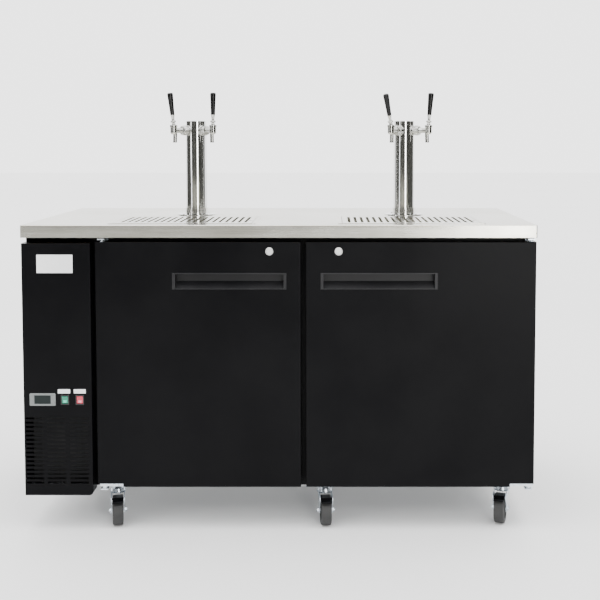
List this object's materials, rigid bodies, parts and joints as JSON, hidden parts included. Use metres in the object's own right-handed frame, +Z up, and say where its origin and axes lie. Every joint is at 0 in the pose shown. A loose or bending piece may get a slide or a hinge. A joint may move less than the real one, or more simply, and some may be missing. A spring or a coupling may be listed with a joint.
{
  "type": "kegerator",
  "caption": "Two-door back-bar keg cooler on swivel casters: black insulated cabinet, side refrigeration bay, steel top with drip trays and double-faucet beer towers.",
  "frame": {"origin": "on the floor, under the middle of the countertop", "axes": "+X to the right as seen by a person facing the doors, -Y out of the doors towards that person, +Z up"},
  "size_m": [1.549, 0.7, 1.3452],
  "materials": {
    "stainless_sheet": "satin",
    "polished_steel": "polished",
    "black_steel": "satin",
    "galvanised": "satin",
    "zinc_plate": "satin",
    "foam": "matte",
    "board": "matte",
    "liner": "satin",
    "door_liner": "satin",
    "gasket": "matte",
    "handle_plastic": "satin",
    "tap_grip": "gloss",
    "wheel": "matte",
    "controller": "satin",
    "switch_black": "satin",
    "rocker_green": "gloss",
    "rocker_red": "gloss",
    "compressor_black": "satin",
    "condenser_metal": "satin",
    "fan_plastic": "satin"
  },
  "bodies": {
    "cabinet": {"countertop": "stainless_sheet", "top_board": "board", "drip_pans": "stainless_sheet", "outer_shell": "black_steel", "base_pan": "galvanised", "bay_casing": "black_steel", "cabinet_foam": "foam", "inner_liner": "liner", "front_frame": "black_steel", "hinge_brackets": "zinc_plate", "front_cover": "black_steel", "thermostat": "controller", "switch_frames": "switch_black", "compressor": "compressor_black", "condenser": "condenser_metal", "evaporator_cover": "liner", "tower_bases": "polished_steel", "tower_columns": "polished_steel", "tower_caps": "polished_steel", "faucets": "polished_steel", "caster_plates": "zinc_plate"},
    "door_left": {"door_left_skin": "black_steel", "door_left_core": "foam", "door_left_liner": "door_liner", "door_left_gasket": "gasket", "door_left_handle": "handle_plastic", "door_left_hinges": "zinc_plate"},
    "lock_left": {"door_left_lock": "polished_steel"},
    "door_right": {"door_right_skin": "black_steel", "door_right_core": "foam", "door_right_liner": "door_liner", "door_right_gasket": "gasket", "door_right_handle": "handle_plastic", "door_right_hinges": "zinc_plate"},
    "lock_right": {"door_right_lock": "polished_steel"},
    "grate_left": {"drip_grate_left": "stainless_sheet"},
    "grate_right": {"drip_grate_right": "stainless_sheet"},
    "tap_left_1": {"tap_handle_left_1": "tap_grip"},
    "tap_left_2": {"tap_handle_left_2": "tap_grip"},
    "tap_right_1": {"tap_handle_right_1": "tap_grip"},
    "tap_right_2": {"tap_handle_right_2": "tap_grip"},
    "rocker_green": {"rocker_green": "rocker_green"},
    "rocker_red": {"rocker_red": "rocker_red"},
    "condenser_fan": {"condenser_fan": "fan_plastic"},
    "evaporator_fan": {"evaporator_fan": "fan_plastic"},
    "caster_front_left": {"caster_front_left_fork": "zinc_plate"},
    "wheel_front_left": {"caster_front_left_wheel": "wheel"},
    "brake_front_left": {"caster_front_left_brake": "black_steel"},
    "caster_front_middle": {"caster_front_middle_fork": "zinc_plate"},
    "wheel_front_middle": {"caster_front_middle_wheel": "wheel"},
    "brake_front_middle": {"caster_front_middle_brake": "black_steel"},
    "caster_front_right": {"caster_front_right_fork": "zinc_plate"},
    "wheel_front_right": {"caster_front_right_wheel": "wheel"},
    "brake_front_right": {"caster_front_right_brake": "black_steel"},
    "caster_rear_left": {"caster_rear_left_fork": "zinc_plate"},
    "wheel_rear_left": {"caster_rear_left_wheel": "wheel"},
    "caster_rear_middle": {"caster_rear_middle_fork": "zinc_plate"},
    "wheel_rear_middle": {"caster_rear_middle_wheel": "wheel"},
    "caster_rear_right": {"caster_rear_right_fork": "zinc_plate"},
    "wheel_rear_right": {"caster_rear_right_wheel": "wheel"}
  },
  "joints": [
    {"name": "door_left_swing", "type": "hinge", "parent": "cabinet", "child": "door_left", "pos_m": [-0.534, -0.332, 0.5], "axis": [0, 0, -1], "range_deg": [0, 110]},
    {"name": "lock_left_turn", "type": "hinge", "parent": "door_left", "child": "lock_left", "pos_m": [-0.0287, -0.34, 0.855], "axis": [0, -1, 0], "range_deg": [0, 90]},
    {"name": "door_right_swing", "type": "hinge", "parent": "cabinet", "child": "door_right", "pos_m": [0.759, -0.332, 0.5], "axis": [0, 0, 1], "range_deg": [0, 110]},
    {"name": "lock_right_turn", "type": "hinge", "parent": "door_right", "child": "lock_right", "pos_m": [0.1794, -0.34, 0.855], "axis": [0, -1, 0], "range_deg": [0, 90]},
    {"name": "grate_left_lift", "type": "slide", "parent": "cabinet", "child": "grate_left", "axis": [0, 0, 1], "range_m": [0, 0.12]},
    {"name": "grate_right_lift", "type": "slide", "parent": "cabinet", "child": "grate_right", "axis": [0, 0, 1], "range_m": [0, 0.12]},
    {"name": "tap_left_1_pull", "type": "hinge", "parent": "cabinet", "child": "tap_left_1", "pos_m": [-0.36741, -0.01441, 1.24], "axis": [0.7071, -0.7071, 0], "range_deg": [0, 28.5]},
    {"name": "tap_left_2_pull", "type": "hinge", "parent": "cabinet", "child": "tap_left_2", "pos_m": [-0.23659, -0.01441, 1.24], "axis": [0.7071, 0.7071, 0], "range_deg": [0, 35]},
    {"name": "tap_right_1_pull", "type": "hinge", "parent": "cabinet", "child": "tap_right_1", "pos_m": [0.35444, -0.0271, 1.24], "axis": [0.8443, -0.5358, 0], "range_deg": [0, 16]},
    {"name": "tap_right_2_pull", "type": "hinge", "parent": "cabinet", "child": "tap_right_2", "pos_m": [0.4821, 0.00144, 1.24], "axis": [0.5358, 0.8443, 0], "range_deg": [0, 31]},
    {"name": "rocker_green_rock", "type": "hinge", "parent": "cabinet", "child": "rocker_green", "pos_m": [-0.648, -0.342, 0.404], "axis": [-1, 0, 0], "range_deg": [0, 14]},
    {"name": "rocker_red_rock", "type": "hinge", "parent": "cabinet", "child": "rocker_red", "pos_m": [-0.603, -0.342, 0.404], "axis": [-1, 0, 0], "range_deg": [0, 14]},
    {"name": "condenser_fan_spin", "type": "hinge", "parent": "cabinet", "child": "condenser_fan", "pos_m": [-0.668, -0.23, 0.235], "axis": [0, 1, 0], "continuous": true},
    {"name": "evaporator_fan_spin", "type": "hinge", "parent": "cabinet", "child": "evaporator_fan", "pos_m": [-0.456, 0.09, 0.72], "axis": [1, 0, 0], "continuous": true},
    {"name": "caster_front_left_swivel", "type": "hinge", "parent": "cabinet", "child": "caster_front_left", "pos_m": [-0.51, -0.264, 0.1], "axis": [0, 0, 1], "continuous": true},
    {"name": "wheel_front_left_roll", "type": "hinge", "parent": "caster_front_left", "child": "wheel_front_left", "pos_m": [-0.50335, -0.2953, 0.045], "axis": [-0.9781, -0.2079, 0], "continuous": true},
    {"name": "brake_front_left_press", "type": "hinge", "parent": "caster_front_left", "child": "brake_front_left", "pos_m": [-0.49794, -0.32073, 0.089], "axis": [0.9781, 0.2079, 0], "range_deg": [0, 12]},
    {"name": "caster_front_middle_swivel", "type": "hinge", "parent": "cabinet", "child": "caster_front_middle", "pos_m": [0.137, -0.264, 0.1], "axis": [0, 0, 1], "continuous": true},
    {"name": "wheel_front_middle_roll", "type": "hinge", "parent": "caster_front_middle", "child": "wheel_front_middle", "pos_m": [0.13979, -0.29588, 0.045], "axis": [-0.9962, -0.0872, 0], "continuous": true},
    {"name": "brake_front_middle_press", "type": "hinge", "parent": "caster_front_middle", "child": "brake_front_middle", "pos_m": [0.14205, -0.32178, 0.089], "axis": [0.9962, 0.0872, 0], "range_deg": [0, 12]},
    {"name": "caster_front_right_swivel", "type": "hinge", "parent": "cabinet", "child": "caster_front_right", "pos_m": [0.693, -0.248, 0.1], "axis": [0, 0, 1], "continuous": true},
    {"name": "wheel_front_right_roll", "type": "hinge", "parent": "caster_front_right", "child": "wheel_front_right", "pos_m": [0.68364, -0.2786, 0.045], "axis": [-0.9563, 0.2924, 0], "continuous": true},
    {"name": "brake_front_right_press", "type": "hinge", "parent": "caster_front_right", "child": "brake_front_right", "pos_m": [0.67604, -0.30347, 0.089], "axis": [0.9563, -0.2924, 0], "range_deg": [0, 12]},
    {"name": "caster_rear_left_swivel", "type": "hinge", "parent": "cabinet", "child": "caster_rear_left", "pos_m": [-0.51, 0.264, 0.1], "axis": [0, 0, 1], "continuous": true},
    {"name": "wheel_rear_left_roll", "type": "hinge", "parent": "caster_rear_left", "child": "wheel_rear_left", "pos_m": [-0.51445, 0.29569, 0.045], "axis": [0.9903, 0.1392, 0], "continuous": true},
    {"name": "caster_rear_middle_swivel", "type": "hinge", "parent": "cabinet", "child": "caster_rear_middle", "pos_m": [0.137, 0.264, 0.1], "axis": [0, 0, 1], "continuous": true},
    {"name": "wheel_rear_middle_roll", "type": "hinge", "parent": "caster_rear_middle", "child": "wheel_rear_middle", "pos_m": [0.14794, 0.29407, 0.045], "axis": [0.9397, -0.342, 0], "continuous": true},
    {"name": "caster_rear_right_swivel", "type": "hinge", "parent": "cabinet", "child": "caster_rear_right", "pos_m": [0.693, 0.264, 0.1], "axis": [0, 0, 1], "continuous": true},
    {"name": "wheel_rear_right_roll", "type": "hinge", "parent": "caster_rear_right", "child": "wheel_rear_right", "pos_m": [0.67948, 0.293, 0.045], "axis": [0.9063, 0.4226, 0], "continuous": true}
  ]
}
